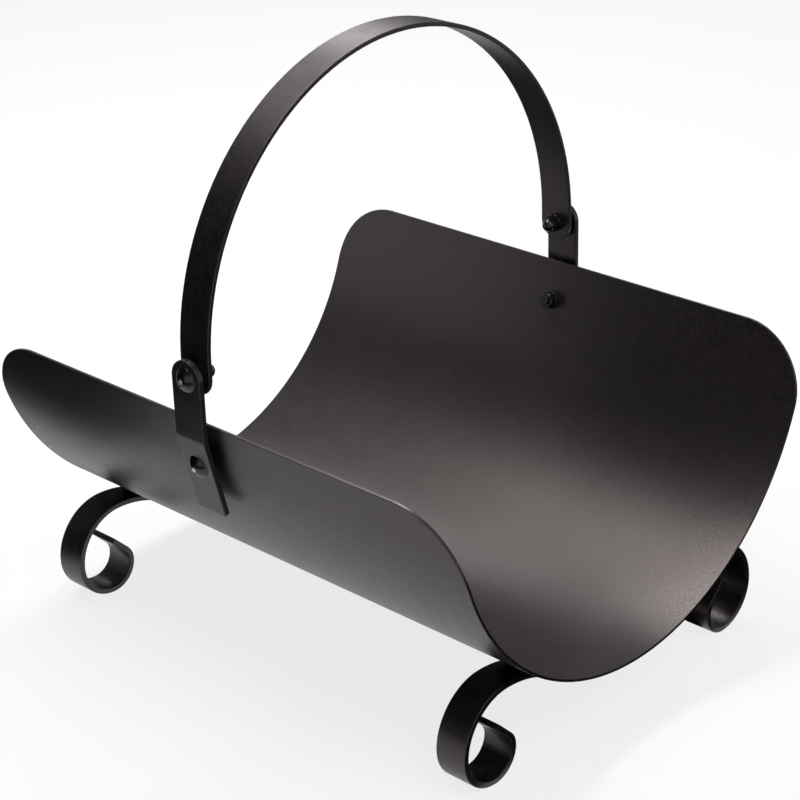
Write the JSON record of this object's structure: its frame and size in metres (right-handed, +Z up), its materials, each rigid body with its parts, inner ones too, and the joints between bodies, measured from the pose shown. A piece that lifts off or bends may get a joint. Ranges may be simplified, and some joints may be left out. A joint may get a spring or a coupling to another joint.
{
  "type": "log holder",
  "caption": "Log holder with a rolled sheet cradle on scrolled flat-bar feet and an arched flat-bar carrying handle that swings on bolted side brackets.",
  "frame": {"origin": "on the floor under the middle of the cradle, at the centre of the outer box", "axes": "+X along the cradle towards its front end, +Y towards its left wall, +Z up"},
  "size_m": [0.42, 0.3672, 0.4146],
  "materials": {
    "black_coat": "satin black powder coat with a fine grain",
    "black_fasteners": "black, smooth, a little glossier than the bars"
  },
  "bodies": {
    "cradle": {"cradle_sheet": "black_coat", "front_foot_bar": "black_coat", "rear_foot_bar": "black_coat", "left_bracket": "black_coat", "right_bracket": "black_coat", "left_pivot_bolt": "black_fasteners", "right_pivot_bolt": "black_fasteners", "left_pivot_spacer": "black_fasteners", "right_pivot_spacer": "black_fasteners", "left_pivot_washer": "black_fasteners", "right_pivot_washer": "black_fasteners", "left_pivot_nut": "black_fasteners", "right_pivot_nut": "black_fasteners", "left_bracket_bolt": "black_fasteners", "right_bracket_bolt": "black_fasteners", "left_bracket_spacer": "black_fasteners", "right_bracket_spacer": "black_fasteners", "left_bracket_washer": "black_fasteners", "right_bracket_washer": "black_fasteners", "left_bracket_nut": "black_fasteners", "right_bracket_nut": "black_fasteners"},
    "handle": {"carry_handle": "black_coat"}
  },
  "joints": [
    {"name": "handle_swing", "type": "hinge", "parent": "cradle", "child": "handle", "pos_m": [0, 0, 0.23588], "axis": [0, 1, 0], "range_deg": [-120, 120]}
  ]
}
